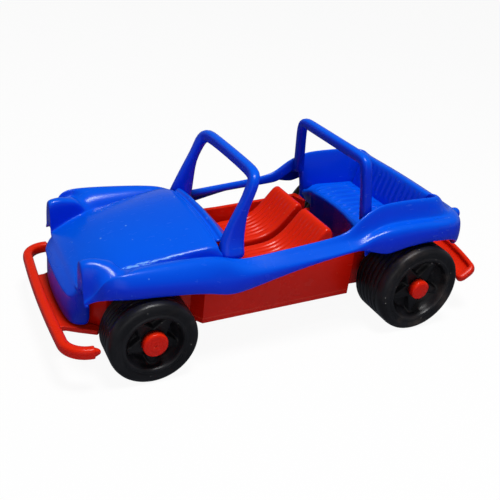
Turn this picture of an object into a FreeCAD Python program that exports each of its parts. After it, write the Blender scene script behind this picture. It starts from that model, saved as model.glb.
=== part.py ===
"""Toy dune buggy: a moulded shell on a pan, with four free wheels on push-in hub pins.

+X is forward, +Y the car's left and +Z up, in millimetres. The origin lies on the ground
under the middle of the car's length and width.
"""
import FreeCAD, Part
import math
import operator
import os
import Sketcher
from FreeCAD import Rotation, Vector

# name, millimetres, what it is
SIZES = (
    ("wheelbase", 100.0, "front axle to rear axle"),
    ("front_overhang", 28.4, "front axle to the front bumper's nose"),
    ("rear_overhang", 34.9, "rear axle to the rear bumper's tail"),
    ("face_half", 37.0, "middle of the car to the wheels' outer faces"),
    ("front_radius", 14.3, "front wheel"),
    ("front_width", 13.0, "front wheel"),
    ("front_rim", 9.0, "front wheel's dish, radius"),
    ("rear_radius", 16.8, "rear wheel"),
    ("rear_width", 17.5, "rear wheel"),
    ("rear_rim", 11.2, "rear wheel's dish, radius"),
    ("shoulder", 3.2, "rounding of the tyre shoulders"),
    ("dish_depth", 2.6, "wheel's face to the spokes"),
    ("web", 3.4, "thickness of a wheel's spoke web"),
    ("hub_radius", 5.0, "boss round a wheel's bore"),
    ("pin_radius", 2.0, "hub pin's shank"),
    ("pin_clearance", 0.06, "running clearance of a wheel on its pin"),
    ("pin_seat", 0.04, "clearance of a pin in the pan's wall"),
    ("head_radius", 4.0, "hub pin's head"),
    ("head_rise", 2.6, "hub pin's head, back to rim"),
    ("pin_grip", 4.0, "pin's length inside the pan's wall"),
    ("wall", 1.8, "moulded wall thickness"),
    ("gap", 0.1, "clearance between pieces that sit on each other"),
    ("pan_bottom", 11.0, "ground to the pan's underside"),
    ("pan_half", 25.6, "middle of the car to the pan's side, ahead of the seats"),
    ("pan_waist_half", 22.7, "the same behind the seats"),
    ("pan_nose_half", 21.5, "the same between the front wheels"),
    ("pan_tail_half", 17.0, "the same between the rear wheels"),
    ("pan_top", 29.3, "ground to the pan's rim at the front"),
    ("shell_half", 34.9, "middle of the car to the fenders' outer edges"),
    ("tub_half", 27.0, "middle of the car to the rear tub's outer side"),
    ("tub_top", 48.4, "ground to the rear tub's rim"),
    ("bench_top", 35.4, "ground to the rear bench"),
    ("frame_half", 24.0, "middle of the car to the windscreen posts' outer side"),
    ("frame_top", 61.4, "ground to the windscreen's top"),
    ("bar_half", 23.9, "middle of the car to the roll bar's outer side, at its top"),
    ("bar_splay", 1.8, "how much wider each side the roll bar stands at its feet"),
    ("bar_top", 64.1, "ground to the roll bar's top"),
    ("bar_size", 4.2, "thickness of the roll bar and the windscreen's top bar"),
    ("seat_width", 18.5, "one seat"),
    ("seat_gap", 3.0, "between the two seats"),
    ("bumper_deep", 2.9, "front bumper's bar, front to back"),
    ("bumper_tall", 3.9, "front bumper's bar, height"),
    ("bumper_height", 14.0, "ground to the front bumper's middle"),
    ("bumper_half", 34.5, "middle of the car to the middle of the front bumper's arms"),
    ("bumper_bow", 420.0, "radius of the front bumper's bow"),
    ("bumper_bend", 8.5, "radius of the front bumper's corners"),
    ("tail_bumper_low", 13.6, "ground to the rear bumper's lowest edge"),
    ("tail_bumper_half", 32.5, "middle of the car to the rear bumper's end"),
    ("tail_bumper_depth", 8.8, "rear bumper, from its front edge to its rear edge"),
    ("tail_bumper_bow", 4.5, "how far the rear bumper bows back in the middle"),
    ("tail_bumper_thick", 3.2, "rear bumper"),
    ("tail_bumper_tilt", 34.0, "degrees by which the rear bumper rises to the rear"),
)

doc = FreeCAD.newDocument("toy_dune_buggy")
sheet = doc.addObject("Spreadsheet::Sheet", "sizes")
for row, (alias, value, meaning) in enumerate(SIZES, start=1):
    sheet.set(f"A{row}", meaning)
    sheet.set(f"B{row}", str(value))
    sheet.setAlias(f"B{row}", alias)
doc.recompute()


class Size:
    """A length together with the formula that ties it to the sheet."""

    def __init__(self, value, formula):
        self.value = value
        self.formula = formula

    def __add__(self, other):
        return combined(self, "+", other)

    def __radd__(self, other):
        return combined(other, "+", self)

    def __sub__(self, other):
        return combined(self, "-", other)

    def __rsub__(self, other):
        return combined(other, "-", self)

    def __mul__(self, other):
        return combined(self, "*", other)

    def __rmul__(self, other):
        return combined(other, "*", self)

    def __truediv__(self, other):
        return combined(self, "/", other)

    def __neg__(self):
        return combined(-1, "*", self)


OPERATIONS = {"+": operator.add, "-": operator.sub, "*": operator.mul, "/": operator.truediv}


def as_size(number):
    return number if isinstance(number, Size) else Size(float(number), f"({float(number)})")


def combined(left, symbol, right):
    left = as_size(left)
    right = as_size(right)
    value = OPERATIONS[symbol](left.value, right.value)
    return Size(value, f"({left.formula} {symbol} {right.formula})")


class Sizes:
    """The sheet's sizes, each under its own name."""


s = Sizes()
for alias, _, _ in SIZES:
    setattr(s, alias, Size(float(sheet.get(alias)), f"sizes.{alias}"))

# The two axles stand so that the whole car is centred over the origin.
front_x = (s.wheelbase + s.rear_overhang - s.front_overhang) / 2
rear_x = front_x - s.wheelbase
SIDES = (("left", 1), ("right", -1))

subparts = []


def bind(feature, prop, size):
    feature.setExpression(prop, as_size(size).formula)


def new_body(label):
    body = doc.addObject("PartDesign::Body", label)
    body.Label = label
    subparts.append(body)
    return body


def sketch_on(body, role, offset=0):
    plane = next(feature for feature in body.Origin.OriginFeatures if feature.Role == role)
    sketch = body.newObject("Sketcher::SketchObject", "sketch")
    sketch.AttachmentSupport = [(plane, "")]
    sketch.MapMode = "FlatFace"
    bind(sketch, "AttachmentOffset.Base.z", offset)
    return sketch


def tie_point(sketch, edge, end, across, up):
    """Fix one end of an edge at a place given from the sketch's origin."""
    for kind, size in (("DistanceX", as_size(across)), ("DistanceY", as_size(up))):
        index = sketch.addConstraint(Sketcher.Constraint(kind, -1, 1, edge, end, size.value))
        sketch.setExpression(f"Constraints[{index}]", size.formula)


def polygon(sketch, corners):
    places = [Vector(as_size(across).value, as_size(up).value, 0) for across, up in corners]
    for index, place in enumerate(places):
        following = places[(index + 1) % len(places)]
        sketch.addGeometry(Part.LineSegment(place, following), False)
    for index, (across, up) in enumerate(corners):
        following = (index + 1) % len(corners)
        sketch.addConstraint(Sketcher.Constraint("Coincident", index, 2, following, 1))
        tie_point(sketch, index, 1, across, up)
    return sketch


def circle(sketch, across, up, radius):
    centre = Vector(as_size(across).value, as_size(up).value, 0)
    edge = sketch.addGeometry(Part.Circle(centre, Vector(0, 0, 1), as_size(radius).value), False)
    index = sketch.addConstraint(Sketcher.Constraint("Radius", edge, as_size(radius).value))
    sketch.setExpression(f"Constraints[{index}]", as_size(radius).formula)
    tie_point(sketch, edge, 3, across, up)
    return sketch


def pad(body, sketch, length):
    feature = body.newObject("PartDesign::Pad", "pad")
    feature.Profile = sketch
    bind(feature, "Length", length)
    return feature


def pocket(body, sketch, depth):
    feature = body.newObject("PartDesign::Pocket", "pocket")
    feature.Profile = sketch
    bind(feature, "Length", depth)
    return feature


def upright(label, plan, bottom, height):
    """A piece with a plan outline, extruded upwards."""
    body = new_body(label)
    pad(body, polygon(sketch_on(body, "XY_Plane", bottom), plan), height)
    return body


def crosswise(label, profile, left, right):
    """A piece with a side outline (x, z), extruded from y = left to y = right."""
    body = new_body(label)
    pad(body, polygon(sketch_on(body, "XZ_Plane", -left), profile), left - right)
    return body


def lofted(label, sections):
    """A piece through cross-sections (x, outline in y and z)."""
    body = new_body(label)
    sketches = [polygon(sketch_on(body, "YZ_Plane", x), outline) for x, outline in sections]
    feature = body.newObject("PartDesign::AdditiveLoft", "loft")
    feature.Profile = sketches[0]
    feature.Sections = sketches[1:]
    feature.Ruled = True
    return body


def mirrored(points):
    """A left half outline (x, y) and its mirror image, in order round the piece."""
    return list(points) + [(x, -y) for x, y in reversed(points)]


def arched(points):
    """A left half outline (y, z) and its mirror image, in order round the piece."""
    return list(points) + [(-y, z) for y, z in reversed(points)]


# ---------------------------------------------------------------- wheels and hub pins

def wheel(label, axle_x, side, radius, width, rim):
    """One moulded wheel. Its axis is the body's own Y and its outer face lies at y = 0."""
    bore = s.pin_radius + s.pin_clearance
    web_back = s.dish_depth + s.web
    body = new_body(label)
    section = polygon(sketch_on(body, "XY_Plane"), (
        (bore, -s.dish_depth),
        (rim - 1.2, -s.dish_depth),
        (rim, 0),
        (radius - 0.6, 0),
        (radius, -s.shoulder / 3),
        (radius, -width + s.shoulder / 3),
        (radius - 0.6, -width),
        (rim, -width),
        (rim - 1.2, -web_back),
        (s.hub_radius, -web_back),
        (s.hub_radius, -width),
        (bore, -width)))
    turned = body.newObject("PartDesign::Revolution", "turned")
    turned.Profile = section
    turned.ReferenceAxis = (section, ["V_Axis"])
    turned.Angle = 360
    doc.recompute()
    rims = [f"Edge{index}" for index, edge in enumerate(turned.Shape.Edges, start=1)
            if hasattr(edge.Curve, "Radius") and abs(edge.Curve.Radius - radius.value) < 0.01]
    rounded = body.newObject("PartDesign::Fillet", "shoulders")
    rounded.Base = (turned, rims)
    bind(rounded, "Radius", s.shoulder / 2)
    recess = pocket(body, polygon(sketch_on(body, "XZ_Plane", s.dish_depth), (
        (-0.9, s.hub_radius + 0.4),
        (0.9, s.hub_radius + 0.4),
        ((rim - 2.2) * 0.42, rim - 2.2),
        (-(rim - 2.2) * 0.42, rim - 2.2))), s.web / 2)
    recess.Reversed = True
    spokes = body.newObject("PartDesign::PolarPattern", "spokes")
    spokes.Originals = [recess]
    spokes.Axis = (next(f for f in body.Origin.OriginFeatures if f.Role == "Y_Axis"), [""])
    spokes.Angle = 360
    spokes.Occurrences = 5
    body.Tip = spokes
    body.Placement = FreeCAD.Placement(Vector(), Rotation(Vector(0, 0, 1), 90 - 90 * side))
    bind(body, "Placement.Base.x", axle_x)
    bind(body, "Placement.Base.y", s.face_half * side)
    bind(body, "Placement.Base.z", radius)
    return body


def hub_pin(label, axle_x, side, radius, pan_half):
    """A push-in pin. Its axis is the body's own Y and the wheel's face lies at y = 0."""
    seat = -s.dish_depth + s.gap
    tip = pan_half - s.pin_grip - s.face_half
    body = new_body(label)
    section = polygon(sketch_on(body, "XY_Plane"), (
        (0, tip),
        (s.pin_radius - 0.4, tip),
        (s.pin_radius, tip + 0.6),
        (s.pin_radius, seat),
        (s.head_radius, seat),
        (s.head_radius, seat + s.head_rise),
        (s.head_radius * 0.62, seat + s.head_rise + 0.35),
        (0, seat + s.head_rise + 0.5)))
    turned = body.newObject("PartDesign::Revolution", "turned")
    turned.Profile = section
    turned.ReferenceAxis = (section, ["V_Axis"])
    turned.Angle = 360
    body.Placement = FreeCAD.Placement(Vector(), Rotation(Vector(0, 0, 1), 90 - 90 * side))
    bind(body, "Placement.Base.x", axle_x)
    bind(body, "Placement.Base.y", s.face_half * side)
    bind(body, "Placement.Base.z", radius)
    return body


AXLES = (
    ("front", front_x, s.front_radius, s.front_width, s.front_rim, s.pan_nose_half),
    ("rear", rear_x, s.rear_radius, s.rear_width, s.rear_rim, s.pan_tail_half),
)
for end, axle_x, radius, width, rim, pan_half in AXLES:
    for side_name, side in SIDES:
        wheel(f"{end}_{side_name}_wheel", axle_x, side, radius, width, rim)
        hub_pin(f"{end}_{side_name}_hub_pin", axle_x, side, radius, pan_half)


# ---------------------------------------------------------------- red pan, seats, bumpers

def pan_plan(inset):
    """Half of the pan's plan from nose to tail, moved inwards by inset."""
    return (
        (front_x + 18.4 - inset, s.pan_nose_half - 5.9 - inset),
        (front_x + 14.6 - inset / 2, s.pan_nose_half - 4.1 - inset),
        (front_x + 11.0 - inset / 2, s.pan_nose_half - inset),
        (front_x - 17.0 - inset, s.pan_nose_half - inset),
        (front_x - 20.0 - inset, s.pan_half - inset),
        (rear_x + 21.5 + inset, s.pan_waist_half - inset),
        (rear_x + 20.0 + inset, s.pan_tail_half - inset),
        (rear_x - 20.0 + inset, s.pan_tail_half - inset))


pan = upright("chassis_pan", mirrored(pan_plan(0)), s.pan_bottom, s.pan_top + 3 - s.pan_bottom)
hollow = sketch_on(pan, "XY_Plane", s.pan_top + 3)
pocket(pan, polygon(hollow, mirrored(pan_plan(s.wall))), s.pan_top + 3 - s.pan_bottom - s.wall)
rim_cut = polygon(sketch_on(pan, "XZ_Plane", s.pan_half + 1), (
    (front_x + 22, s.pan_top - 9.8),
    (front_x + 8, s.pan_top - 0.1),
    (front_x - 20, s.pan_top - 0.1),
    (front_x - 30, s.pan_top - 2),
    (front_x - 45, s.pan_top - 1),
    (rear_x + 20.8, s.pan_top + 2.4),
    (rear_x + 20.8, s.pan_top - 2),
    (rear_x - 21, s.pan_top - 2),
    (rear_x - 21, s.pan_top + 10),
    (front_x + 22, s.pan_top + 10)))
pocket(pan, rim_cut, s.pan_half * 2 + 2)
for end, axle_x, radius, width, rim, pan_half in AXLES:
    seat = circle(sketch_on(pan, "XZ_Plane", pan_half + 1), axle_x, radius, s.pin_radius + s.pin_seat)
    pocket(pan, seat, pan_half * 2 + 2)

floor_top = s.pan_bottom + s.wall + s.gap
seat_x = rear_x + 31.1
for side_name, side in SIDES:
    inner = s.seat_gap / 2
    outer = inner + s.seat_width
    left, right = (outer, inner) if side > 0 else (-inner, -outer)
    crosswise(f"{side_name}_seat", (
        (seat_x - 1.0, 36.8),
        (seat_x + 1.8, 37.2),
        (seat_x + 9.0, 28.2),
        (seat_x + 16.0, 24.6),
        (seat_x + 26.0, 24.2),
        (seat_x + 29.0, 22.4),
        (seat_x + 29.0, floor_top),
        (seat_x + 27.0, floor_top),
        (seat_x + 27.0, 21.8),
        (seat_x + 15.0, 22.2),
        (seat_x + 7.0, 26.4),
        (seat_x + 0.4, 34.0),
        (seat_x + 0.4, floor_top),
        (seat_x - 1.6, floor_top),
        (seat_x - 1.6, 36.0)), left, right)


def front_bumper():
    """An oval bar, bowed between two round corners, with a flat plate back round the pan's nose."""
    label = "front_bumper"
    deep = s.bumper_deep.value / 2
    tall = s.bumper_tall.value / 2
    nose_x = front_x.value + s.front_overhang.value - deep
    half = s.bumper_half.value
    level = s.bumper_height.value
    bow = s.bumper_bow.value
    bend = s.bumper_bend.value
    bow_x = nose_x - bow
    bend_x = bow_x + math.sqrt((bow - bend) ** 2 - (half - bend) ** 2)
    arm_end = front_x.value + 15.8

    def on_arc(centre_x, centre_y, size, angle, side):
        return Vector(centre_x + size * math.cos(angle), side * (centre_y + size * math.sin(angle)), level)

    meeting = math.atan2(half - bend, bend_x - bow_x)
    middle = (meeting + math.pi / 2) / 2
    left = [Vector(arm_end, half, level), Vector(bend_x, half, level),
            on_arc(bend_x, half - bend, bend, middle, 1), on_arc(bow_x, 0, bow, meeting, 1)]
    right = [Vector(place.x, -place.y, level) for place in reversed(left)]
    start = left[0]
    edges = [
        Part.LineSegment(left[0], left[1]).toShape(),
        Part.Arc(left[1], left[2], left[3]).toShape(),
        Part.Arc(left[3], Vector(nose_x, 0, level), right[0]).toShape(),
        Part.Arc(right[0], right[1], right[2]).toShape(),
        Part.LineSegment(right[2], right[3]).toShape(),
    ]
    path = Part.Wire(edges)
    oval = Part.Ellipse(start + Vector(0, 0, tall), start + Vector(0, deep, 0), start)
    bar = path.makePipeShell([Part.Wire([oval.toShape()])], True, False)
    gap = s.gap.value
    nose_half = s.pan_nose_half.value
    plan = [Vector(x, y, s.pan_bottom.value) for x, y in mirrored((
        (nose_x, nose_half - 5.0),
        (front_x.value + 22.5, nose_half - 4.4),
        (front_x.value + 18.9, nose_half - 2.1),
        (front_x.value + 13.9, nose_half + 0.8),
        (front_x.value + 12.0 + gap, nose_half - 1.1 + gap),
        (front_x.value + 14.6 + gap, nose_half - 4.1 + gap),
        (front_x.value + 18.4 + gap, nose_half - 5.9 + gap)))]
    plate = Part.Face(Part.makePolygon(plan + plan[:1])).extrude(Vector(0, 0, s.wall.value))
    feature = doc.addObject("Part::Feature", label)
    feature.Label = label
    feature.Shape = bar.fuse(plate).removeSplitter()
    subparts.append(feature)


front_bumper()


def rear_bumper():
    """A bowed bar with a long groove, rising to the rear, and the tongue that carries it.

    The body's own X runs along the slope, with 0 at the front edge of the bumper's ends.
    """
    depth = s.tail_bumper_depth
    bow = s.tail_bumper_bow
    end = s.tail_bumper_half
    tilt = math.radians(s.tail_bumper_tilt.value)
    reach = (depth + bow) * math.cos(tilt)
    pan_tail = 20.3
    tongue_half = 8
    tongue = (s.rear_overhang - reach - pan_tail) / math.cos(tilt) - s.tail_bumper_thick * math.tan(tilt)
    body = upright("rear_bumper", mirrored((
        (-depth - bow, 0.35 * end),
        (-depth - 0.35 * bow, 0.8 * end),
        (-depth + 1, end),
        (0, end),
        (-0.6 * bow, 0.8 * end),
        (-bow, 0.35 * end),
        (-bow, tongue_half + 1),
        (tongue, tongue_half))), 0, s.tail_bumper_thick)
    lip = 1.9
    groove = sketch_on(body, "XY_Plane", s.tail_bumper_thick)
    pocket(body, polygon(groove, mirrored((
        (-depth - bow + lip, 0.35 * end),
        (-depth - 0.35 * bow + lip, 0.8 * end),
        (-depth + 1 + lip, end - lip),
        (-lip, end - lip),
        (-0.6 * bow - lip, 0.8 * end),
        (-bow - lip, 0.35 * end)))), s.tail_bumper_thick * 0.55)
    body.Placement = FreeCAD.Placement(Vector(), Rotation(Vector(0, 1, 0), s.tail_bumper_tilt.value))
    bind(body, "Placement.Base.x", rear_x - s.rear_overhang + reach)
    bind(body, "Placement.Base.z", s.tail_bumper_low)


rear_bumper()

# ---------------------------------------------------------------- blue shell, front

# ahead of the front axle, half width, lower edge, crease and crown above the ground
HOOD_SECTIONS = (
    (-24.8, 24.3, 33.2, 38.6, 41.2),
    (-5.6, 22.4, 32.2, 35.6, 38.4),
    (7.6, 20.9, 29.4, 32.5, 35.2),
    (16.0, 19.2, 25.8, 28.6, 31.2),
    (22.4, 17.4, 20.9, 23.4, 24.6),
)


def hood_outline(half, low, crease, crown):
    inner = half - s.wall
    return (
        (half, low),
        (half, crease),
        (0, crown),
        (-half, crease),
        (-half, low),
        (-inner, low),
        (-inner, crease - s.wall),
        (0, crown - s.wall),
        (inner, crease - s.wall),
        (inner, low))


lofted("hood", [(front_x + ahead, hood_outline(as_size(half), low, as_size(crease), as_size(crown)))
                for ahead, half, low, crease, crown in HOOD_SECTIONS])

nose_low = s.pan_bottom + s.wall + s.gap * 2
nose_top = 20.8
upright("nose_panel", mirrored((
    (front_x + 22.4, 16.8),
    (front_x + 19.2, 19.2),
    (front_x + 15.5, 19.4),
    (front_x + 15.5, 19.4 - s.wall),
    (front_x + 18.8, 18.0 - s.wall / 2),
    (front_x + 20.4, 16.0),
    )), nose_low, nose_top - nose_low)

# ahead of the front axle, valley, crown and edge: inwards of the outer edge, above the ground
FRONT_FENDER_SECTIONS = (
    (16.2, 12.6, 31.4, 7.0, 34.6, 1.2, 30.8),
    (12.0, 13.2, 31.9, 6.6, 37.2, 0.8, 30.2),
    (9.0, 13.6, 32.4, 6.4, 37.7, 0.4, 29.6),
    (-4.0, 12.0, 33.8, 5.8, 38.4, 0.0, 29.7),
    (-17.0, 10.6, 34.0, 5.4, 37.6, 0.3, 28.2),
    (-25.0, 10.2, 34.0, 5.6, 36.8, 1.6, 26.0),
)

# ahead of the rear axle, then the same columns, for a tub 7.9 inwards of the outer edge
REAR_FENDER_SECTIONS = (
    (28.6, 7.9, 39.8, 4.9, 38.8, 1.9, 34.4),
    (24.0, 7.9, 43.6, 4.4, 39.6, 1.6, 33.0),
    (18.0, 7.9, 48.2, 4.0, 42.0, 0.8, 32.5),
    (10.0, 7.9, 48.6, 3.6, 42.8, 0.0, 34.6),
    (-2.0, 7.9, 48.6, 3.4, 42.8, 0.0, 35.4),
    (-13.0, 8.2, 48.0, 3.8, 42.2, 0.6, 34.9),
    (-20.0, 11.0, 42.6, 7.4, 41.2, 4.0, 30.6),
)


def fender_outline(side, spread, inwards, valley, crown_in, crown, edge_in, edge):
    """A bent sheet from its valley over its crown to its free edge."""
    outer = s.shell_half
    inwards = spread * inwards
    crown_in = spread * crown_in
    edge_in = spread * edge_in
    across = (
        (outer - inwards, valley),
        (outer - crown_in, as_size(crown)),
        (outer - edge_in, as_size(edge) + 3.4),
        (outer - edge_in, edge),
        (outer - edge_in - s.wall, edge),
        (outer - edge_in - s.wall, as_size(edge) + 2.6),
        (outer - crown_in - s.wall * 0.4, as_size(crown) - s.wall),
        (outer - inwards, as_size(valley) - s.wall))
    return [(y * side, z) for y, z in across]


beside_tub = (s.shell_half - s.tub_half) / 7.9
for side_name, side in SIDES:
    lofted(f"{side_name}_front_fender", [
        (front_x + row[0], fender_outline(side, 1, *row[1:])) for row in FRONT_FENDER_SECTIONS])
    lofted(f"{side_name}_rear_fender", [
        (rear_x + row[0], fender_outline(side, beside_tub, *row[1:])) for row in REAR_FENDER_SECTIONS])


# between front fender and rear fender: place, top edge and lower edge
def sill_outline(side, inner, top, outer, low):
    across = (
        (inner, as_size(top)),
        (outer, as_size(low) + 3),
        (outer, low),
        (outer - s.wall, low),
        (outer - s.wall, as_size(low) + 2.2),
        (inner - 0.4, as_size(top) - s.wall))
    return [(y * side, z) for y, z in across]


# place, inner edge (inwards of the fenders' edge, and its height), outer edge (the same)
SILL_SECTIONS = (
    (front_x - 25.1, 8.4, 35.6, 1.8, 24.9),
    (front_x - 34.0, 8.4, 36.6, 1.9, 25.8),
    (front_x - 50.0, 8.4, 37.8, 1.9, 30.2),
    (rear_x + 28.7, 8.4, 39.8, 1.9, 34.4),
)
for side_name, side in SIDES:
    lofted(f"{side_name}_sill", [
        (x, sill_outline(side, s.shell_half - inwards, top, s.shell_half - outwards, low))
        for x, inwards, top, outwards, low in SILL_SECTIONS])

# ---------------------------------------------------------------- cowl, frame, bar, tub

opening_half = s.frame_half - 4.0
crosswise("cowl", (
    (front_x - 24.9, 40.2),
    (front_x - 28.0, 40.4),
    (front_x - 34.4, 35.8),
    (front_x - 34.4, 33.8),
    (front_x - 33.0, 33.8),
    (front_x - 27.6, 38.2),
    (front_x - 24.9, 38.2)), opening_half - s.gap, s.gap - opening_half)

screen = crosswise("windscreen_frame", (
    (front_x - 25.0, 38.8),
    (front_x - 34.9, s.frame_top - 2.4),
    (front_x - 35.9, s.frame_top),
    (front_x - 38.8, s.frame_top),
    (front_x - 36.9, s.frame_top - 4.6),
    (front_x - 33.4, s.frame_top - 11.4),
    (front_x - 32.9, 34.4),
    (front_x - 25.0, 34.4)), s.frame_half, -s.frame_half)
window = polygon(sketch_on(screen, "YZ_Plane", front_x - 20), arched((
    (opening_half, s.pan_top),
    (opening_half, 42),
    (opening_half - 1.5, s.frame_top - s.bar_size))))
pocket(screen, window, 30)

bar_x = rear_x + 21.9
foot_top = 40.6
bar_foot_half = s.bar_half + s.bar_splay
bar_post = 4.2
bar = crosswise("roll_bar", (
    (bar_x + 2.0, s.bar_top),
    (bar_x - 1.8, s.bar_top),
    (bar_x - 3.0, foot_top + 4),
    (bar_x - 3.6, foot_top - 0.2),
    (bar_x + 1.4, foot_top - 0.2),
    (bar_x + 1.2, foot_top + 10)), bar_foot_half, -bar_foot_half)
bar_opening = polygon(sketch_on(bar, "YZ_Plane", bar_x + 10), arched((
    (bar_foot_half - bar_post, foot_top - 1),
    (s.bar_half - bar_post, s.bar_top - s.bar_size))))
pocket(bar, bar_opening, 30)
for side_name, side in SIDES:
    outside = polygon(sketch_on(bar, "YZ_Plane", bar_x + 10), [(y * side, z) for y, z in (
        (bar_foot_half, foot_top - 1),
        (s.bar_half, s.bar_top + 0.2),
        (bar_foot_half + 2, s.bar_top + 0.2),
        (bar_foot_half + 2, foot_top - 1))])
    pocket(bar, outside, 30)
    plate = polygon(sketch_on(bar, "XY_Plane", foot_top - s.wall), [(x, y * side) for x, y in (
        (bar_x - 3.9, s.tub_half - s.gap),
        (bar_x + 6.2, s.tub_half - s.gap),
        (bar_x + 4.0, bar_foot_half - bar_post),
        (bar_x - 3.9, bar_foot_half - bar_post))])
    pad(bar, plate, s.wall)

tub_low = s.rear_radius * 2 + 0.4
tub_rim = s.tub_top - 0.6
tub_out = s.tub_half - s.gap


def tub_wall_outline(side):
    """A wall that leans outwards from the bench to the rim."""
    foot = tub_out - 6.6
    across = (
        (tub_out, tub_rim),
        (tub_out - s.wall, tub_rim),
        (foot, s.bench_top + s.gap),
        (foot + s.wall * 1.2, s.bench_top + s.gap),
        (tub_out, tub_rim - 2))
    return [(y * side, z) for y, z in across]


for side_name, side in SIDES:
    lofted(f"{side_name}_tub_wall", [
        (rear_x + 17.6, tub_wall_outline(side)), (rear_x - 5.6, tub_wall_outline(side))])

upright("back_wall", mirrored((
    (rear_x - 5.7, s.tub_half - 3 * s.gap),
    (rear_x - 7.6, s.tub_half - 3 * s.gap),
    (rear_x - 11.6, 12),
    (rear_x - 9.8, 12),
    )), tub_low, tub_rim - tub_low)

bench_half = s.tub_half - s.wall - s.gap * 2
bench_foot = s.pan_top - 1.9
bench = crosswise("rear_bench", (
    (rear_x + 17.8, s.bench_top),
    (rear_x - 5.5, s.bench_top),
    (rear_x - 5.5, tub_low),
    (rear_x + 16.0, tub_low),
    (rear_x + 17.9, tub_low - 2),
    (rear_x + 17.9, bench_foot),
    (rear_x + 19.4, bench_foot),
    (rear_x + 19.4, s.bench_top - 2)), bench_half, -bench_half)
channel_half = s.pan_tail_half - s.wall - s.gap
pad(bench, polygon(sketch_on(bench, "XZ_Plane", -channel_half), (
    (rear_x + 17.9, bench_foot + 1),
    (rear_x + 17.9, floor_top),
    (rear_x + 19.4, floor_top),
    (rear_x + 19.4, bench_foot + 1))), channel_half * 2)

crosswise("tail_deck", (
    (rear_x - 11.7, s.tub_top - 0.6),
    (rear_x - 13.2, s.tub_top - 0.8),
    (rear_x - 15.2, 44.8),
    (rear_x - 17.4, 42.4),
    (rear_x - 20.8, 41.0),
    (rear_x - 22.2, 38.0),
    (rear_x - 22.2, 30.4),
    (rear_x - 20.7, 30.4),
    (rear_x - 20.7, 37.6),
    (rear_x - 19.8, 39.6),
    (rear_x - 16.6, 41.0),
    (rear_x - 13.9, 43.8),
    (rear_x - 11.7, 46.4)), 23.6, -23.6)

# ---------------------------------------------------------------- lamps

# behind the lamp's face: bottom at the inner and the outer side, top, and how far the sides draw in
LAMP_SECTIONS = (
    (0.0, 29.2, 29.2, 38.6, 0.0),
    (1.7, 29.2, 29.2, 38.8, 0.0),
    (1.71, 32.0, 34.6, 38.8, 0.2),
    (6.0, 33.4, 36.0, 38.6, 0.8),
    (11.0, 35.0, 36.0, 37.2, 2.2),
)
lamp_inner = s.shell_half - 15.3
lamp_outer = s.shell_half - 7.9


def lamp_outline(side, low_inner, low_outer, top, draw):
    across = (
        (lamp_inner + draw, low_inner),
        (lamp_inner + draw, top - 1.1),
        (lamp_inner + draw + 1.5, top),
        (lamp_outer - draw - 1.5, top),
        (lamp_outer - draw, top - 1.1),
        (lamp_outer - draw, low_outer))
    return [(y * side, z) for y, z in across]


for side_name, side in SIDES:
    lofted(f"{side_name}_headlight", [
        (front_x + 18.0 - behind, lamp_outline(side, *row)) for behind, *row in LAMP_SECTIONS])
    tail = doc.addObject("Part::Cylinder", f"{side_name}_tail_light")
    tail.Label = f"{side_name}_tail_light"
    tail.Radius = 2.2
    tail.Height = 1.8
    tail.Placement = FreeCAD.Placement(Vector(), Rotation(Vector(0, 1, 0), -90))
    bind(tail, "Placement.Base.x", rear_x - 22.3)
    bind(tail, "Placement.Base.y", side * 21)
    bind(tail, "Placement.Base.z", 38)
    subparts.append(tail)

# ---------------------------------------------------------------- write the pieces

doc.recompute()
failed = [f"{feature.Name} in {feature.getParentGeoFeatureGroup().Label}" for feature in doc.Objects
          if "Invalid" in feature.State or "Error" in feature.State]
if failed:
    raise RuntimeError(f"these failed: {', '.join(failed)}")
for subpart in subparts:
    if subpart.Shape.isNull() or not subpart.Shape.isValid():
        raise RuntimeError(f"{subpart.Label} has no sound shape")

os.makedirs("parts", exist_ok=True)
for subpart in subparts:
    subpart.Shape.exportStep(f"parts/{subpart.Label}.step")
    box = subpart.Shape.BoundBox
    print(f"{subpart.Label:20s} {subpart.Shape.Volume:9.1f} mm3  x {box.XMin:7.2f} {box.XMax:7.2f}"
          f"  y {box.YMin:7.2f} {box.YMax:7.2f}  z {box.ZMin:6.2f} {box.ZMax:6.2f}")
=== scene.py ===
import math

import bmesh
import bpy
from mathutils import Matrix, Vector


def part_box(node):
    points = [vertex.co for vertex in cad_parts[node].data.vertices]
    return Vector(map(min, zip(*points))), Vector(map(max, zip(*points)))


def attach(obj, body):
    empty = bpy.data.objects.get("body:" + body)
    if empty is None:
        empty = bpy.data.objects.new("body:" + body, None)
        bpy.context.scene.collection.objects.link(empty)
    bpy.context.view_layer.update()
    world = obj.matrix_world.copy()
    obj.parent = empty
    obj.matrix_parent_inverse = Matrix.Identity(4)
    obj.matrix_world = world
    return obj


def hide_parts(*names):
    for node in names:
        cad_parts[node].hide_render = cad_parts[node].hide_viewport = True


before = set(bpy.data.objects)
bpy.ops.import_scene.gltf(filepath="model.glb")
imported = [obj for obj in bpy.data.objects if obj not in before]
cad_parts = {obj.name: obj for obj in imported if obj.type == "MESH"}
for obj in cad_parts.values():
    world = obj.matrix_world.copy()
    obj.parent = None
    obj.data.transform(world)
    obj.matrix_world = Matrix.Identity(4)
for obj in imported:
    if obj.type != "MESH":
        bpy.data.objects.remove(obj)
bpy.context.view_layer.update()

MM = 0.001

# ------------------------------------------------------------------ places taken from the model


def node_mm(node):
    """Lowest and highest corner of a node, in millimetres."""
    low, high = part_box(node)
    return low / MM, high / MM


front_low, front_high = node_mm("front_left_wheel")
rear_low, rear_high = node_mm("rear_left_wheel")

FRONT_X = (front_low.x + front_high.x) / 2
REAR_X = (rear_low.x + rear_high.x) / 2
FRONT_R = (front_high.z - front_low.z) / 2
REAR_R = (rear_high.z - rear_low.z) / 2
FACE = front_high.y
SHELL_WALL = 1.5
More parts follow.
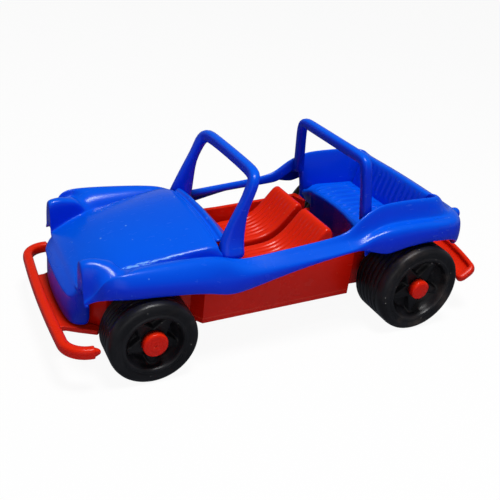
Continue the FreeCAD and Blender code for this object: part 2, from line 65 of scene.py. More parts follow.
# the level at which bench and seats end inside the pan
FOOT_Z = 14.0


def spot(x, y, z):
    """A place given in millimetres."""
    return Vector((x, y, z)) * MM


# ------------------------------------------------------------------ finishes


def maths(operation, *terms):
    """One Math node on values and numbers."""
    nodes = next(term.nodes for term in terms if isinstance(term, Value))
    return nodes.make("ShaderNodeMath", {"operation": operation}, dict(enumerate(terms)))


class Value:
    """One output of a shader node, which can be used in sums."""

    def __init__(self, nodes, socket):
        self.nodes = nodes
        self.socket = socket

    def __add__(self, other):
        return maths("ADD", self, other)

    def __sub__(self, other):
        return maths("SUBTRACT", self, other)

    def __mul__(self, other):
        return maths("MULTIPLY", self, other)

    def __rsub__(self, other):
        return maths("SUBTRACT", other, self)

    __radd__ = __add__
    __rmul__ = __mul__

    def clip(self, low, high):
        """0 below low, 1 above high, smooth between."""
        return self.nodes.make("ShaderNodeMapRange", {"interpolation_type": "SMOOTHSTEP"}, {
            0: self, 1: low, 2: high, 3: 0.0, 4: 1.0})


class Nodes:
    """The nodes of a material or a world."""

    def __init__(self, owner):
        owner.use_nodes = True
        self.tree = owner.node_tree

    def make(self, kind, settings, inputs, output=0):
        """Adds a node: its settings first, then the values or links of its sockets."""
        node = self.tree.nodes.new(kind)
        for key, setting in settings.items():
            setattr(node, key, setting)
        self.feed(node, inputs)
        return Value(self, node.outputs[output])

    def feed(self, node, inputs):
        for key, given in inputs.items():
            if isinstance(given, Value):
                self.tree.links.new(given.socket, node.inputs[key])
            else:
                node.inputs[key].default_value = given

    def blend(self, factor, first, second):
        """A mix of two colours."""
        return self.make("ShaderNodeMix", {"data_type": "RGBA"}, {0: factor, 6: first, 7: second}, 2)

    def ray(self, kind):
        """1 for rays of one kind."""
        return self.make("ShaderNodeLightPath", {}, {}, f"Is {kind} Ray")

    def axes(self, vector):
        """The three parts of a vector."""
        return [self.make("ShaderNodeSeparateXYZ", {}, {0: vector}, axis) for axis in "XYZ"]


class Finish(Nodes):
    """A moulded plastic: a Principled shader and what feeds it."""

    def __init__(self, name):
        self.material = bpy.data.materials.new(name)
        super().__init__(self.material)
        self.shader = self.tree.nodes["Principled BSDF"]
        self.place = self.make("ShaderNodeTexCoord", {}, {}, "Object")

    def noise(self, scale, detail=2.0, stretch=(1, 1, 1), turn=(0, 0, 0)):
        across = self.make("ShaderNodeMapping", {}, {"Vector": self.place, "Scale": stretch, "Rotation": turn})
        return self.make("ShaderNodeTexNoise", {}, {"Vector": across, "Scale": scale, "Detail": detail}, "Fac")

    def specks(self, scale, size):
        """1 on scattered round specks."""
        cells = self.make("ShaderNodeTexVoronoi", {}, {"Vector": self.place, "Scale": scale}, "Distance")
        return 1 - cells.clip(size * 0.5, size)

    def mark(self, x, y, z, size):
        """1 at a small round blemish, 0 away from it."""
        gap = self.make(
            "ShaderNodeVectorMath", {"operation": "DISTANCE"}, {0: self.place, 1: spot(x, y, z)}, "Value")
        return 1 - gap.clip(size * MM * 0.35, size * MM)

    def highlight_streak(self, x, y, z, half, turn):
        """1 inside a long narrow patch of painted highlight, broken into streaks along it."""
        inside = self.make("ShaderNodeMapping", {"vector_type": "TEXTURE"}, {
            "Vector": self.place, "Location": spot(x, y, z), "Rotation": turn, "Scale": Vector(half) * MM})
        away = self.make("ShaderNodeVectorMath", {"operation": "LENGTH"}, {0: inside}, "Value")
        return (1 - away.clip(0.55, 1.0)) * self.noise(700, 3, (0.3, 2.5, 2.5)).clip(0.4, 0.52)

    def bump(self, height, strength, distance):
        return self.make("ShaderNodeBump", {}, {"Height": height, "Strength": strength, "Distance": distance})


def edge_wear(finish):
    """1 along convex edges, broken up by a fine noise."""
    edges = finish.make("ShaderNodeNewGeometry", {}, {}, "Pointiness")
    return edges.clip(0.52, 0.6) * finish.noise(420, 4).clip(0.45, 0.62)


def looks_up(finish):
    """1 on faces that look up, 0 on upright ones and those that look down; it places painted light on tops and
    painted shade on sides.
    """
    normal = finish.make("ShaderNodeNewGeometry", {}, {}, "Normal")
    return finish.axes(normal)[2].clip(0.05, 0.95)


def within(value, low, high, soft):
    """1 between two sizes in millimetres, fading over a soft margin on each side."""
    return value.clip((low - soft) * MM, low * MM) * (1 - value.clip(high * MM, (high + soft) * MM))


def back_ribs(finish):
    """Fine upright ribs on the cabin side of the back wall."""
    x, y, z = finish.axes(finish.place)
    wave = maths("SINE", y * (math.tau / (3.0 * MM)))
    inside = within(x, REAR_X - 9.0, REAR_X - 3.9, 1.0)
    level = within(z, 38.0, 45.0, 1.5)
    return wave * inside * level


def pan_line(finish):
    """1 on the fine step that runs along the pan's sides, a little above its lower edge; the step is drawn
    only in the shader, as bump relief and a painted pale line of light.
    """
    x, y, z = finish.axes(finish.place)
    band = within(z, 12.8, 12.8, 0.3)
    side = maths("ABSOLUTE", y).clip(22.0 * MM, 22.3 * MM)
    middle = 1 - maths("ABSOLUTE", x).clip(38.0 * MM, 40.0 * MM)
    return band * side * middle


def moulded(name, deep, plain, pale, rough, worn, marks=(), highlight_streaks=()):
    """Glossy moulded plastic: painted shade on its upright sides and painted light on its tops, with hair
    scratches, dust specks, pale rubbed edges and painted highlight lines.
    """
    finish = Finish(name)
    cloud = finish.noise(38, 3)
    scratches = finish.noise(160, 3, (1, 9, 3), (0.2, 0.4, 0.7)).clip(0.66, 0.72)
    hairs = finish.noise(130, 2, (12, 1, 2), (0.5, 0.1, -0.5)).clip(0.69, 0.74)
    specks = finish.specks(260, 0.09) * finish.noise(60, 1).clip(0.5, 0.6)
    rubbed = finish.noise(22, 5).clip(0.5, 0.75)
    wear = edge_wear(finish)
    # painted light and shade: faces that look up take the lighter colour, upright and downward ones the
    # deeper, shaded one
    colour = finish.blend(looks_up(finish) * (0.85 + cloud * 0.3), deep, plain)
    paler = scratches * (0.16 * worn) + hairs * (0.14 * worn) + specks * 0.4 + wear * (0.05 + 0.25 * worn)
    # the pan's step is painted paler along its length, as a line of painted light
    paler = paler + pan_line(finish) * 0.3
    for place in marks:
        paler = paler + finish.mark(*place) * 0.75
    # painted highlights: pale streaks along the hood's left crease, where the light catches it
    for streak in highlight_streaks:
        paler = paler + finish.highlight_streak(*streak) * 0.9
    colour = finish.blend(paler.clip(0.0, 1.0), colour, pale)
    roughness = rough + rubbed * 0.12 + scratches * 0.15 + wear * 0.1
    height = finish.noise(900, 3) * 0.25 + cloud * 0.6 - scratches * 0.3 - hairs * 0.3 + specks * 0.5
    height = height + back_ribs(finish) * 3.0 + pan_line(finish) * 0.6
    finish.feed(finish.shader, {
        "Base Color": colour,
        "Roughness": roughness,
        "Normal": finish.bump(height, 0.35, 0.00012),
        "Specular IOR Level": 0.19})
    return finish.material


def tyre_plastic(name):
    """Satin black plastic, fine mould grain, brown dust where it rolls."""
    finish = Finish(name)
    cloud = finish.noise(60, 4)
    grain = finish.noise(1400, 2)
    dust = finish.noise(90, 5).clip(0.55, 0.8)
    specks = finish.specks(420, 0.12) * finish.noise(80, 2).clip(0.42, 0.6)
    colour = finish.blend(cloud.clip(0.35, 0.7), (0.005, 0.005, 0.007, 1), (0.012, 0.012, 0.016, 1))
    colour = finish.blend(dust * 0.5, colour, (0.075, 0.052, 0.042, 1))
    colour = finish.blend(specks * 0.6, colour, (0.3, 0.29, 0.28, 1))
    finish.feed(finish.shader, {
        "Base Color": colour,
        "Roughness": 0.3 + cloud * 0.15 + dust * 0.15,
        "Normal": finish.bump(grain * 0.5 + cloud * 0.5, 0.4, 0.00015),
        "Specular IOR Level": 0.32})
    return finish.material


# small blemishes on the hood: place and size
HOOD_MARKS = (
    (FRONT_X + 8, 3.0, 35.0, 0.7),
    (FRONT_X - 1, 1.0, 37.2, 0.45),
    (FRONT_X - 22, -11.0, 40.2, 0.4),
    (FRONT_X + 9.6, -20.3, 32.9, 0.6),
)
# painted highlight streaks along the hood's left crease: place, half size, turn
HOOD_HIGHLIGHT_STREAKS = (
    (FRONT_X + 2.0, 21.6, 33.8, (9.0, 1.0, 1.0), (0.0, 0.21, -0.11)),
    (FRONT_X - 9.0, 22.9, 36.2, (5.0, 0.6, 0.7), (0.0, 0.19, -0.11)),
)
# for both plastics: the first colour is painted shade for upright faces, the second painted light for tops,
# the third the pale of scratches, specks, wear and painted highlights
blue = moulded(
    "royal_blue_plastic", (0.0, 0.022, 0.6, 1), (0.0, 0.098, 0.78, 1), (0.16, 0.4, 0.9, 1),
    rough=0.22, worn=0.8, marks=HOOD_MARKS, highlight_streaks=HOOD_HIGHLIGHT_STREAKS)
red = moulded(
    "orange_red_plastic", (0.56, 0.006, 0.001, 1), (0.76, 0.02, 0.003, 1), (0.8, 0.16, 0.09, 1),
    rough=0.24, worn=0.1)
black = tyre_plastic("black_tyre_plastic")

# ------------------------------------------------------------------ shaping


def grow(bm, chain, places, closed=False):
    """Extrudes a row of vertices to its next places and returns the new row."""
    pairs = list(zip(chain, chain[1:] + (chain[:1] if closed else [])))
    edges = [bm.edges.get(pair) for pair in pairs if bm.edges.get(pair)]
    made = set(bmesh.ops.extrude_edge_only(bm, edges=edges)["geom"])
    fresh = [next(e.other_vert(v) for e in v.link_edges if e.other_vert(v) in made) for v in chain]
    for vert, place in zip(fresh, places):
        vert.co = place
    return fresh


def first_row(bm, places, closed=False):
    """A row of vertices joined by edges."""
    row = [bm.verts.new(place) for place in places]
    for pair in zip(row, row[1:] + (row[:1] if closed else [])):
        bm.edges.new(pair)
    return row


def sheet(bm, rows):
    """A skin through rows of points; returns its rows of vertices."""
    chains = [first_row(bm, rows[0])]
    for places in rows[1:]:
        chains.append(grow(bm, chains[-1], places))
    return chains


def tube(bm, rings):
    """A closed body through rings of points, with both ends filled."""
    chain = first_row(bm, rings[0], True)
    bmesh.ops.contextual_create(bm, geom=chain)
    for places in rings[1:]:
        chain = grow(bm, chain, places, True)
    bmesh.ops.contextual_create(bm, geom=chain)
    outwards(bm)


def outwards(bm):
    """Merges doubles and turns every face outwards."""
    bmesh.ops.remove_doubles(bm, verts=bm.verts, dist=0.02 * MM)
    bmesh.ops.recalc_face_normals(bm, faces=bm.faces)


def top_up(bm):
    """On an open skin, turns every face so that the highest one looks up."""
    outwards(bm)
    highest = max(bm.faces, key=lambda face: face.calc_center_median().z)
    if highest.normal.z < 0:
        bmesh.ops.reverse_faces(bm, faces=bm.faces)


def mirror_across(bm):
    """Adds the right-hand half."""
    geometry = bm.verts[:] + bm.edges[:] + bm.faces[:]
    bmesh.ops.mirror(bm, geom=geometry, axis="Y", merge_dist=0.02 * MM)


def along(bm, row):
    """The edges that join a row of vertices."""
    return [bm.edges.get(pair) for pair in zip(row, row[1:])]


def crease(bm, row, amount):
    """Keeps the skin tight along a row of vertices."""
    layer = bm.edges.layers.float["crease_edge"]
    for edge in along(bm, row):
        edge[layer] = amount


def turned(profile, steps):
    """A body of revolution about the y axis, from (radius, y) points."""
    bm = bmesh.new()
    row = first_row(bm, [spot(radius, y, 0) for radius, y in profile])
    bmesh.ops.spin(bm, geom=row + along(bm, row), cent=(0, 0, 0), axis=(0, 1, 0), angle=math.tau, steps=steps,
                   use_merge=True)
    outwards(bm)
    return bm


def plate(outline, lift):
    """A flat plate: its outline, raised by a lift."""
    bm = bmesh.new()
    bottom = bm.faces.new([bm.verts.new(place) for place in outline])
    raised = bmesh.ops.extrude_face_region(bm, geom=[bottom])["geom"]
    bmesh.ops.translate(bm, vec=lift, verts=[v for v in raised if isinstance(v, bmesh.types.BMVert)])
    outwards(bm)
    return bm


def smooth_step(low, high, amount):
    """0 below low, 1 above high, smooth between."""
    t = max(0.0, min(1.0, (amount - low) / (high - low)))
    return t * t * (3 - 2 * t)


def shift(bm, x, y, z):
    bmesh.ops.translate(bm, vec=spot(x, y, z), verts=bm.verts)


def flip_side(bm):
    """Turns a left-hand body into a right-hand one."""
    bmesh.ops.scale(bm, vec=(1, -1, 1), verts=bm.verts)
    bmesh.ops.reverse_faces(bm, faces=bm.faces)


def between(table, at):
    """The value at a place, read from a table of places and values."""
    for (start, first), (end, second) in zip(table, table[1:]):
        if at <= end + 0.01:
            return first + (second - first) * (at - start) / (end - start)


def piece(name, bm, material, body, stands_for, rounding=0.0, wall=0.0, levels=0):
    """Makes the finished piece, and says what it rides on and which nodes it stands for."""
    mesh = bpy.data.meshes.new(name)
    bm.to_mesh(mesh)
    bm.free()
    for polygon in mesh.polygons:
        polygon.use_smooth = True
    made = bpy.data.objects.new(name, mesh)
    bpy.context.scene.collection.objects.link(made)
    mesh.materials.append(material)
    if wall:
        skin = made.modifiers.new("wall", "SOLIDIFY")
        skin.thickness = wall * MM
        skin.offset = -1
    if rounding:
        soft = made.modifiers.new("edges", "BEVEL")
        soft.width = rounding * MM
        soft.segments = 3
        soft.limit_method = "ANGLE"
        soft.angle_limit = math.radians(25)
        soft.harden_normals = True
    if levels:
        smooth = made.modifiers.new("smooth", "SUBSURF")
        smooth.levels = levels
        smooth.render_levels = levels
    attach(made, body)
    if stands_for:
        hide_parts(*stands_for)
    return made


def softened(node, name, material, rounding):
    """A copy of a node with its edges rounded as a mould leaves them."""
    bm = bmesh.new()
    bm.from_mesh(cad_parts[node].data)
    bmesh.ops.remove_doubles(bm, verts=bm.verts, dist=0.005 * MM)
    bmesh.ops.dissolve_limit(bm, angle_limit=math.radians(1.5), verts=bm.verts, edges=bm.edges)
    return piece(name, bm, material, "car", [node], rounding=rounding)


# ------------------------------------------------------------------ blue shell

# ahead of the front axle; hood: middle height, crease y and z; valley y and z;
# fender: crown y and z, outer y, lower edge z; lamp pod: top z, foot z (or no pod)
FRONT_ROWS = (
    (19.2, 27.6, 19.2, 26.4, 20.8, 26.0, 26.9, 26.4, 27.3, 25.2, 26.8, 25.8),
    (19.3, 27.8, 18.7, 26.8, 20.6, 26.2, 26.9, 26.8, 27.4, 25.4, 37.9, 26.0),
    (18.2, 28.8, 18.9, 27.7, 20.8, 28.0, 27.0, 27.8, 27.6, 26.2, 38.5, 27.2),
    (16.6, 29.9, 19.1, 28.7, 21.0, 29.0, 27.9, 29.4, 28.6, 27.4, 38.6, 28.6),
    (15.4, 30.8, 19.3, 29.3, 21.1, 29.3, 29.2, 32.0, 30.3, 28.4, 38.6, 29.6),
    (14.4, 31.4, 19.5, 29.8, 21.2, 29.7, 30.4, 35.4, 31.9, 29.3, 38.5, 30.6),
    (12.4, 32.6, 19.9, 30.7, 21.4, 30.4, 31.0, 37.1, 33.2, 29.7, 38.0, 32.4),
    (10.2, 33.7, 20.3, 31.5, 21.7, 31.0, 31.2, 37.7, 34.1, 29.9, 37.5, 33.6),
    (8.4, 34.6, 20.6, 32.2, 22.0, 31.4, 31.2, 37.9, 34.5, 29.9, 36.0, 34.4),
    (6.0, 35.5, 21.0, 32.9, 22.4, 31.9, 31.2, 38.0, 34.8, 29.8, 0, 0),
    (0.0, 37.2, 21.8, 34.4, 23.0, 32.9, 30.8, 38.1, 35.0, 29.6, 0, 0),
    (-10.0, 39.2, 23.0, 36.4, 23.9, 34.1, 29.8, 38.0, 34.9, 28.9, 0, 0),
    (-18.0, 40.4, 23.8, 37.7, 24.6, 34.8, 29.2, 37.7, 34.6, 27.7, 0, 0),
    (-24.5, 41.2, 24.4, 38.5, 25.2, 35.2, 29.0, 36.7, 33.8, 25.5, 0, 0),
)

# ahead of the rear axle; inner wall: y, foot z, rim z; valley y and z; crown y and z; outer y, lower edge z
SIDE_ROWS = (
    (70.5, 26.1, 31.4, 34.4, 30.0, 33.4, 31.6, 32.3, 33.1, 25.2),
    (62.0, 26.4, 31.9, 35.2, 30.2, 33.5, 31.7, 32.4, 33.0, 27.5),
    (50.0, 26.4, 33.4, 36.5, 30.2, 34.7, 31.7, 33.7, 33.0, 30.7),
    (38.0, 26.4, 34.5, 37.7, 30.2, 35.7, 31.7, 34.8, 33.0, 33.0),
    (31.0, 26.4, 35.1, 39.1, 30.2, 36.4, 31.7, 35.6, 32.9, 34.0),
    (28.0, 26.3, 35.6, 41.0, 30.1, 36.9, 31.6, 36.1, 32.8, 34.3),
    (25.0, 26.0, 38.0, 43.8, 29.8, 37.9, 31.5, 37.1, 32.7, 34.0),
    (22.0, 25.7, 40.6, 45.7, 29.6, 39.1, 31.7, 38.7, 33.0, 33.1),
    (19.1, 25.4, 41.4, 46.9, 29.3, 40.0, 32.0, 40.1, 33.7, 32.5),
    (18.6, 25.3, 24.4, 47.1, 29.3, 40.2, 32.1, 40.3, 33.8, 32.4),
    (16.0, 25.2, 26.0, 48.0, 29.2, 41.0, 32.5, 41.4, 34.7, 32.1),
    (10.0, 25.0, 32.5, 48.5, 29.3, 41.7, 32.9, 42.3, 35.1, 34.2),
    (0.0, 24.9, 34.2, 48.7, 29.4, 41.8, 33.0, 42.3, 35.1, 35.2),
    (-7.0, 24.7, 34.0, 48.4, 29.5, 41.8, 33.0, 42.0, 35.0, 35.0),
)
# the same columns at the tail, with distances behind the corner's centre in place of y
TAIL_ROW = (-1.5, 34.0, 47.7, 9.3, 42.1, 12.8, 41.0, 14.6, 30.6)
CORNER_X = REAR_X - 8.0
CORNER_Y = 21.0
# shares of the quarter turn round the corner, and how far its lower edge dips at each
CORNER_TURNS = (0.3, 0.55, 0.8, 1.0)
CORNER_DIP = (0.0, -2.4, -5.2, -1.5)
# where the hood's points stand across its half width, and how late its crown falls to the side
HOOD_SHARES = (0, 0.4, 0.75, 1)
HOOD_CROWN = 2.6


def front_section(row):
    """From the hood's middle across crease, valley or lamp pod, and fender to the lower edge."""
    ahead, middle, crease_y, crease_z, valley_y, valley_z, crown_y, crown_z, outer, low, pod, foot = row
    across = [(crease_y * t, middle - (middle - crease_z) * t ** HOOD_CROWN) for t in HOOD_SHARES]
    if pod:
        rise = pod - foot
        across += [
            (crease_y + 0.35, crease_z + 0.1),
            (crease_y + 0.8, foot + rise * 0.78),
            (crease_y + 1.7, foot + rise * 0.99),
            (crease_y + 4.6, foot + rise * 0.99),
            (crease_y + 6.5, foot + rise * 0.74),
            (crease_y * 0.06 + crown_y * 0.94, foot + rise * 0.1)]
    else:
        across.append((crease_y * 0.35 + valley_y * 0.65, (crease_z + valley_z) / 2))
        for t, lift in ((0, 0), (0.09, 0.14), (0.2, 0.39), (0.4, 0.69), (0.68, 0.9)):
            across.append((valley_y + (crown_y - valley_y) * t, valley_z + (crown_z - valley_z) * lift))
    shoulder = low + min(3.3, (crown_z - low) * 0.42)
    fall = crown_z - shoulder
    spread = outer - crown_y
    across += [
        (crown_y, crown_z),
        (crown_y + spread * 0.4, crown_z - fall * 0.2),
        (crown_y + spread * 0.8, crown_z - fall * 0.66),
        (outer - 0.12, shoulder - 0.2),
        (outer, low)]
    # the front row's middle dips forward and down, where the hood rolls over into the nose
    dips = [0.9 if row is FRONT_ROWS[0] and index < 3 else 0.0 for index in range(len(across))]
    return [spot(FRONT_X + ahead + dip, y, z - dip) for (y, z), dip in zip(across, dips)]


def side_profile(inner, foot, rim, valley, valley_z, crown, crown_z, outer, low):
    """From the foot of the inner wall over the rim to the outer lower edge."""
    fall = crown_z - low
    knee = max(foot + 0.4, min(35.0, rim - 1.8))
    lean = 0.42 * max(0.0, rim - knee - 5.0)
    return (
        (inner - lean + 0.07 * (knee - foot), foot),
        (inner - lean, knee),
        (inner, rim - 1.4),
        (inner + 0.9, rim),
        (inner + 0.45 * (valley - inner), rim * 0.8 + valley_z * 0.2),
        (inner + 0.72 * (valley - inner), rim * 0.3 + valley_z * 0.7),
        (valley, valley_z),
        (crown, crown_z),
        (crown + 0.7 * (outer - crown), crown_z - 0.2 * fall),
        (outer, crown_z - 0.52 * fall),
        (outer, low))


POD_POINTS = slice(4, 10)
VALLEY_POINT = 6
CREASE_POINT = 3
# the first row of the hood whose side crease is sharp, behind the lamp pods
FIRST_CREASED = 9


def side_and_tail(bm, chain):
    """Sill, rear fender, corner and tail; returns the vertices along the valley that is creased."""
    valley = []
    for ahead, *columns in SIDE_ROWS:
        chain = grow(bm, chain, [spot(REAR_X + ahead, y, z) for y, z in side_profile(*columns)])
        if ahead < 24:
            valley.append(chain[VALLEY_POINT])
    inner, foot, rim, valley_y, valley_z, crown, crown_z, outer, low = SIDE_ROWS[-1][1:]
    side = (inner - CORNER_Y, foot, rim, valley_y - CORNER_Y, valley_z, crown - CORNER_Y, crown_z,
            outer - CORNER_Y, low)
    for turn, dip in zip(CORNER_TURNS, CORNER_DIP):
        angle = turn * math.pi / 2
        columns = [a + (b - a) * turn for a, b in zip(side, TAIL_ROW)]
        columns[-1] += dip
        chain = grow(bm, chain, [
            spot(CORNER_X - out * math.sin(angle), CORNER_Y + out * math.cos(angle), z)
            for out, z in side_profile(*columns)])
        valley.append(chain[VALLEY_POINT])
    for y, back in ((11.0, 0.5), (0.0, 0.8)):
        chain = grow(bm, chain, [spot(CORNER_X - back - out, y, z) for out, z in side_profile(*TAIL_ROW)])
    return valley


def nose(bm, chain):
    """From the hood's front row down over the nose to the lower edge; returns the upper lip."""
    rolled = [chain]
    for ahead, middle, side_z, half in ((21.4, 25.6, 24.9, 18.9), (22.9, 23.6, 23.2, 17.3)):
        rolled.append(grow(bm, rolled[-1], [
            spot(FRONT_X + ahead - 1.3 * t ** 3, half * t, middle + (side_z - middle) * t ** 2)
            for t in HOOD_SHARES]))
    lip = rolled[-1] + [rolled[-2][-1], rolled[-3][-1]]
    face = [lip]
    side = ((1.6, 16.6), (3.0, 18.0), (4.8, 19.0))
    for z, front_at in ((22.3, 22.7), (18.5, 22.8), (13.0, 22.9)):
        places = [spot(FRONT_X + front_at - 1.1 * t * t, 17.0 * t, z) for t in HOOD_SHARES[:-1]]
        places += [spot(FRONT_X + front_at - back, y, z) for back, y in side]
        face.append(grow(bm, face[-1], places))
    back_edge = [row[-1] for row in face]
    grow(bm, back_edge, [spot(FRONT_X + 15.4, 19.2, v.co.z / MM) for v in back_edge])
    return lip


def shell_skin():
    """The one-piece shell: hood, nose, lamp pods, fenders, sills, tub walls and tail."""
    bm = bmesh.new()
    bm.edges.layers.float.new("crease_edge")
    front = sheet(bm, [front_section(row) for row in FRONT_ROWS])
    valley = side_and_tail(bm, front[-1][4:])
    lip = nose(bm, front[0][:4])
    crease(bm, lip[:4], 0.55)
    crease(bm, lip[3:], 0.35)
    crease(bm, front[1][POD_POINTS], 0.85)
    crease(bm, valley, 0.5)
    crease(bm, [row[CREASE_POINT] for row in front[FIRST_CREASED:]], 0.6)
    mirror_across(bm)
    top_up(bm)
    piece("shell_skin", bm, blue, "car", [
        "hood", "nose_panel", "left_front_fender", "right_front_fender", "left_rear_fender",
        "right_rear_fender", "left_sill", "right_sill", "left_tub_wall", "right_tub_wall", "back_wall",
        "tail_deck", "left_headlight", "right_headlight"], wall=SHELL_WALL, levels=2)


shell_skin()

# ------------------------------------------------------------------ tail lamps


def tail_lamp(side_name):
    """A blind round nub on the tail."""
    low, high = node_mm(f"{side_name}_tail_light")
    radius = (high.z - low.z) / 2
    profile = ((0.001, -1.9), (radius, -1.9), (radius, 1.0), (radius * 0.8, 1.6), (radius * 0.45, 1.9),
               (0.001, 2.0))
    bm = turned(profile, 32)
    bmesh.ops.rotate(bm, cent=(0, 0, 0), matrix=Matrix.Rotation(math.pi / 2, 3, "Z"), verts=bm.verts)
    shift(bm, high.x - 0.2, (low.y + high.y) / 2, (low.z + high.z) / 2)
    outwards(bm)
    piece(f"{side_name}_tail_lamp", bm, blue, "car", [f"{side_name}_tail_light"], levels=1)


for side_name in ("left", "right"):
    tail_lamp(side_name)

# ------------------------------------------------------------------ frame, roll bar, cowl


RING_POINTS = 16
SQUARENESS = 3.2


def oval_ring(centre, along, across, half_along, half_across):
    """A rounded-square ring about a centre, in the plane of two directions."""
    ring = []
    for step in range(RING_POINTS):
        angle = math.tau * (step + 0.5) / RING_POINTS
        c, s = math.cos(angle), math.sin(angle)
        grow_out = (abs(c) ** SQUARENESS + abs(s) ** SQUARENESS) ** (-1 / SQUARENESS)
        offset = along * (half_along * c * grow_out) + across * (half_across * s * grow_out)
        ring.append((centre + offset) * MM)
    return ring


def hoop(name, node, stations):
    """An arch from the right foot over to the left foot.

    Each station: x, y, z, half size fore and aft, half thickness, turn of the ring in degrees.
    """
    rings = []
    for side, run in ((-1, stations), (1, stations[::-1])):
        for x, y, z, deep, thick, turn in run:
            angle = math.radians(turn)
            across = Vector((0, side * math.cos(angle), math.sin(angle)))
            rings.append(oval_ring(Vector((x, side * y, z)), Vector((1, 0, 0)), across, deep, thick))
    bm = bmesh.new()
    tube(bm, rings)
    piece(name, bm, blue, "car", [node], levels=1)


def screen_frame():
    """The windscreen's frame, whose posts widen into broad feet."""
    top = node_mm("windscreen_frame")[1]
    post_y = top.y - 2.0
    hoop("screen_frame", "windscreen_frame", (
        (FRONT_X - 29.0, post_y + 1.6, 33.4, 4.4, 3.4, 0),
        (FRONT_X - 29.0, post_y + 1.3, 35.6, 4.3, 3.2, 0),
        (FRONT_X - 29.2, post_y + 0.4, 38.4, 4.1, 2.4, 0),
        (FRONT_X - 30.4, post_y, 43.8, 3.1, 1.95, 0),
        (FRONT_X - 32.0, post_y - 0.1, 49.5, 1.9, 1.9, 0),
        (FRONT_X - 33.8, post_y - 0.3, 53.4, 1.75, 2.0, 0),
        (FRONT_X - 35.0, post_y - 0.7, top.z - 4.4, 1.85, 2.3, 12),
        (FRONT_X - 36.1, post_y - 1.9, top.z - 2.6, 1.85, 2.5, 42),
        (FRONT_X - 36.6, post_y - 4.2, top.z - 1.9, 1.8, 2.25, 75),
        (FRONT_X - 36.8, post_y - 7.4, top.z - 1.7, 1.75, 2.1, 90),
        (FRONT_X - 36.9, 5.0, top.z - 1.6, 1.7, 2.05, 90)))


def roll_hoop():
    """The roll bar, an even bar from foot to foot."""
    top = node_mm("roll_bar")[1]
    bar_x = REAR_X + 21.9
    bar_y = 22.0
    hoop("roll_hoop", "roll_bar", (
        (bar_x - 1.3, bar_y + 1.9, 40.4, 2.1, 2.1, 0),
        (bar_x - 1.2, bar_y + 1.7, 42.4, 2.0, 2.0, 0),
        (bar_x - 0.7, bar_y + 1.3, 46.0, 1.9, 1.95, 0),
        (bar_x + 0.1, bar_y + 0.7, 53.0, 1.8, 1.9, 0),
        (bar_x + 0.8, bar_y, top.z - 6.0, 1.8, 1.9, 0),
        (bar_x + 0.9, bar_y - 0.4, top.z - 3.6, 1.8, 1.95, 22),
        (bar_x + 0.9, bar_y - 1.7, top.z - 2.3, 1.8, 1.95, 50),
        (bar_x + 0.9, bar_y - 3.6, top.z - 2.0, 1.8, 1.95, 78),
        (bar_x + 0.9, bar_y - 6.0, top.z - 2.0, 1.8, 1.95, 90),
        (bar_x + 0.9, 5.0, top.z - 2.0, 1.8, 1.95, 90)))


screen_frame()
roll_hoop()


def cowl_trim():
    """Behind the hood: a groove, a thin raised strip and the dash that drops into the cabin."""
    hood_z, crease_y, crease_z = FRONT_ROWS[-1][1:4]
    half = 20.6
    columns = 8
    across = ((-24.3, -0.1), (-24.9, -1.0), (-25.9, -1.0), (-26.3, -0.1), (-27.3, 0.0), (-27.9, -0.5),
              (-30.2, -2.7), (-32.6, -4.6), (-33.2, -7.0))
    rows = []
    for step in range(columns + 1):
        y = half * step / columns
        crown = hood_z - 0.05 - (hood_z - crease_z) * (y / crease_y) ** HOOD_CROWN
        sag = math.cos(math.pi / 2 * y / half)
        rows.append([spot(FRONT_X + ahead, y, crown + drop * (1 + 0.12 * sag)) for ahead, drop in across])
    bm = bmesh.new()
    sheet(bm, rows)
    mirror_across(bm)
    top_up(bm)
    piece("cowl_trim", bm, blue, "car", ["cowl"], wall=1.2, levels=2)


cowl_trim()

# ------------------------------------------------------------------ rear bench


def ribbed_run(line, half, ribs, depth, ribbed, columns):
    """Rows of points for a side outline swept across the car, with ribs that follow the outline."""
    rows = []
    for step in range(columns + 1):
        y = -half + 2 * half * step / columns
        inside = max(0.0, min(1.0, half * 0.84 - abs(y)))
        wave = 0.5 + 0.5 * math.cos(math.tau * ribs * (y + half) / (2 * half))
        row = []
        for index, (x, z) in enumerate(line):
            previous = line[max(index - 1, 0)]
            following = line[min(index + 1, len(line) - 1)]
            run = Vector((following[0] - previous[0], 0, following[1] - previous[1])).normalized()
            normal = Vector((-run.z, 0, run.x))
            sunk = depth * wave * inside * ribbed[index]
            row.append((Vector((x, y, z)) - normal * sunk) * MM)
        rows.append(row)
    return rows


